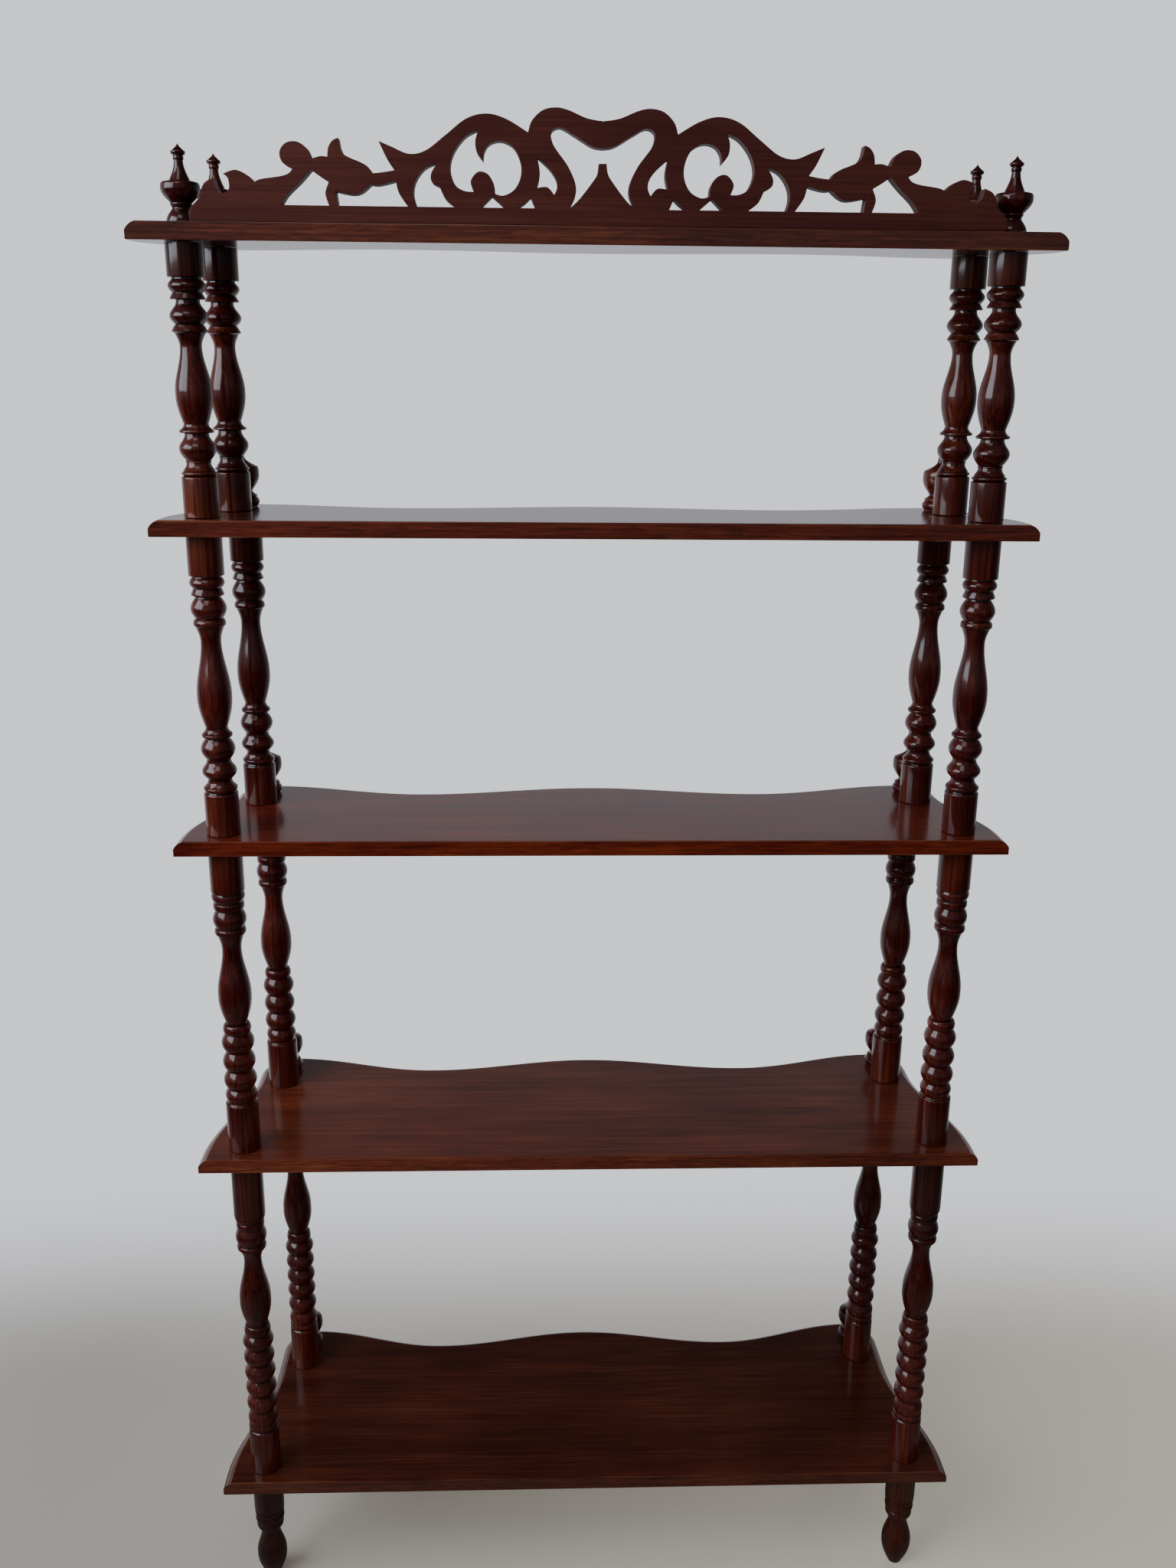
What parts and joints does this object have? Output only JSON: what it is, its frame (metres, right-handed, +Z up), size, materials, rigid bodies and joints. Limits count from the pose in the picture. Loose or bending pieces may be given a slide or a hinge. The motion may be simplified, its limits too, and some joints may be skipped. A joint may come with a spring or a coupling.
{
  "type": "turned wood shelf",
  "caption": "Free-standing open shelf unit of stained wood: serpentine boards that deepen towards the floor, on turned posts with finials and pear feet, under a pierced scroll crest.",
  "frame": {"origin": "on the floor, at the centre of the footprint of the whole piece", "axes": "+Z up; +Y from the straight back edges of the shelves towards their serpentine front edges; +X along the shelves, to the right as seen from behind"},
  "size_m": [0.75, 0.245, 1.4336],
  "materials": {
    "shelf_wood": "red-brown stain under glossy lacquer",
    "turned_wood": "deep red-brown stain under glossy lacquer",
    "crest_wood": "dark red-brown stain, satin",
    "dowel_wood": "bare wood"
  },
  "bodies": {
    "root": {"shelf_top": "shelf_wood", "shelf_upper": "shelf_wood", "shelf_middle": "shelf_wood", "shelf_lower": "shelf_wood", "shelf_bottom": "shelf_wood", "crest": "crest_wood", "crest_dowel_far_left": "dowel_wood", "crest_dowel_left": "dowel_wood", "crest_dowel_centre": "dowel_wood", "crest_dowel_right": "dowel_wood", "crest_dowel_far_right": "dowel_wood", "foot_back_left": "turned_wood", "foot_back_right": "turned_wood", "foot_front_left": "turned_wood", "foot_front_right": "turned_wood", "post_lower_back_left": "turned_wood", "post_lower_back_right": "turned_wood", "post_lower_front_left": "turned_wood", "post_lower_front_right": "turned_wood", "post_middle_back_left": "turned_wood", "post_middle_back_right": "turned_wood", "post_middle_front_left": "turned_wood", "post_middle_front_right": "turned_wood", "post_upper_back_left": "turned_wood", "post_upper_back_right": "turned_wood", "post_upper_front_left": "turned_wood", "post_upper_front_right": "turned_wood", "post_top_back_left": "turned_wood", "post_top_back_right": "turned_wood", "post_top_front_left": "turned_wood", "post_top_front_right": "turned_wood", "finial_top_back_left": "turned_wood", "finial_top_back_right": "turned_wood", "finial_top_front_left": "turned_wood", "finial_top_front_right": "turned_wood", "finial_upper_front_left": "turned_wood", "finial_upper_front_right": "turned_wood", "finial_middle_front_left": "turned_wood", "finial_middle_front_right": "turned_wood", "finial_lower_front_left": "turned_wood", "finial_lower_front_right": "turned_wood", "finial_bottom_front_left": "turned_wood", "finial_bottom_front_right": "turned_wood"}
  },
  "joints": []
}
